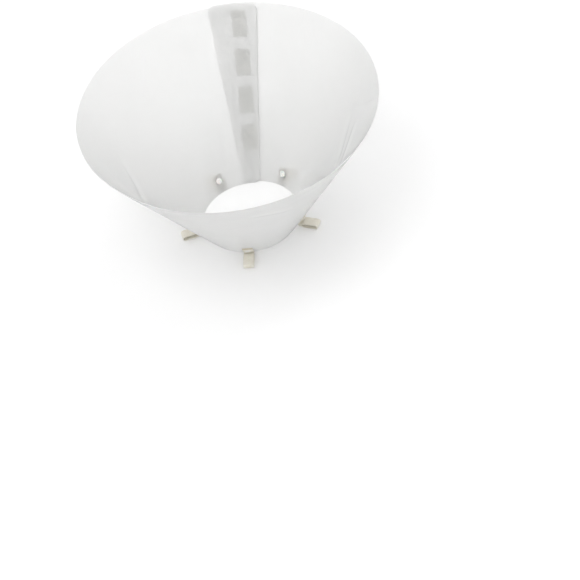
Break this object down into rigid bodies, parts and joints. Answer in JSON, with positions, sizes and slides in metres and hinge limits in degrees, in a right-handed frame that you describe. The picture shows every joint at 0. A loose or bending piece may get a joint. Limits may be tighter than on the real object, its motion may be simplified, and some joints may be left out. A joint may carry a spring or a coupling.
{
  "type": "elizabethan collar",
  "caption": "Protective pet cone: a frosted plastic sheet rolled into an open cone, held by hook-and-loop patches, with strap loops round its neck edge.",
  "frame": {"origin": "middle of the neck opening, on the level surface that the neck edge stands on", "axes": "+Z along the cone's axis from the neck to the rim, +Y towards the seam at the back, +X to the right of the seam seen from the front"},
  "size_m": [0.4002, 0.4021, 0.212],
  "materials": {
    "frosted_sheet": "translucent frosted sheet, fine matt grain",
    "hook_tape": "woven tape with moulded hooks",
    "loop_tape": "soft brushed pile",
    "strap_webbing": "flat woven tape",
    "rivet_plastic": "moulded, lightly polished"
  },
  "bodies": {
    "front": {"front_panel": "frosted_sheet", "loop_tab_front": "strap_webbing", "rivet_front": "rivet_plastic", "rivet_cap_front": "rivet_plastic"},
    "right_wing": {"right_wing": "frosted_sheet", "loop_tab_right_front": "strap_webbing", "rivet_right_front": "rivet_plastic", "rivet_cap_right_front": "rivet_plastic", "loop_tab_right_rear": "strap_webbing", "rivet_right_rear": "rivet_plastic", "rivet_cap_right_rear": "rivet_plastic"},
    "left_wing": {"left_wing": "frosted_sheet", "hook_patch_1": "hook_tape", "hook_patch_2": "hook_tape", "hook_patch_3": "hook_tape", "hook_patch_4": "hook_tape", "loop_tab_left_rear": "strap_webbing", "rivet_left_rear": "rivet_plastic", "rivet_cap_left_rear": "rivet_plastic", "loop_tab_left_front": "strap_webbing", "rivet_left_front": "rivet_plastic", "rivet_cap_left_front": "rivet_plastic"},
    "flap": {"closing_flap": "frosted_sheet", "loop_patch_1": "loop_tape", "loop_patch_2": "loop_tape", "loop_patch_3": "loop_tape", "loop_patch_4": "loop_tape"},
    "loop_front": {"collar_loop_front": "strap_webbing"},
    "loop_right_front": {"collar_loop_right_front": "strap_webbing"},
    "loop_right_rear": {"collar_loop_right_rear": "strap_webbing"},
    "loop_left_rear": {"collar_loop_left_rear": "strap_webbing"},
    "loop_left_front": {"collar_loop_left_front": "strap_webbing"}
  },
  "joints": [
    {"name": "collar_open", "type": "hinge", "parent": "front", "child": "right_wing", "pos_m": [0.03994, -0.05497, 0], "axis": [-0.3115, 0.4287, -0.848], "range_deg": [0, 50]},
    {"name": "left_wing_open", "type": "hinge", "parent": "front", "child": "left_wing", "pos_m": [-0.03994, -0.05497, 0], "axis": [-0.3115, -0.4287, 0.848], "range_deg": [0, 25]},
    {"name": "flap_peel", "type": "hinge", "parent": "right_wing", "child": "flap", "pos_m": [0.02525, 0.06465, 0], "axis": [-0.1985, -0.4913, -0.848], "range_deg": [0, 80]},
    {"name": "loop_swing_front", "type": "hinge", "parent": "front", "child": "loop_front", "pos_m": [0, -0.0738, 0.0035], "axis": [-1, 0, 0], "range_deg": [-80, 20]},
    {"name": "loop_swing_right_front", "type": "hinge", "parent": "right_wing", "child": "loop_right_front", "pos_m": [0.07053, -0.02233, 0.0035], "axis": [-0.309, -0.9511, 0], "range_deg": [-80, 20]},
    {"name": "loop_swing_right_rear", "type": "hinge", "parent": "right_wing", "child": "loop_right_rear", "pos_m": [0.04338, 0.06125, 0.0035], "axis": [0.809, -0.5878, 0], "range_deg": [-80, 20]},
    {"name": "loop_swing_left_rear", "type": "hinge", "parent": "left_wing", "child": "loop_left_rear", "pos_m": [-0.04338, 0.05817, 0.0035], "axis": [0.809, 0.5878, 0], "range_deg": [-80, 20]},
    {"name": "loop_swing_left_front", "type": "hinge", "parent": "left_wing", "child": "loop_left_front", "pos_m": [-0.06984, -0.02328, 0.0035], "axis": [-0.309, 0.9511, 0], "range_deg": [-80, 20]}
  ],
  "couplings": [
    {"joint": "left_wing_open", "follows": "collar_open", "ratio": 0.5}
  ]
}
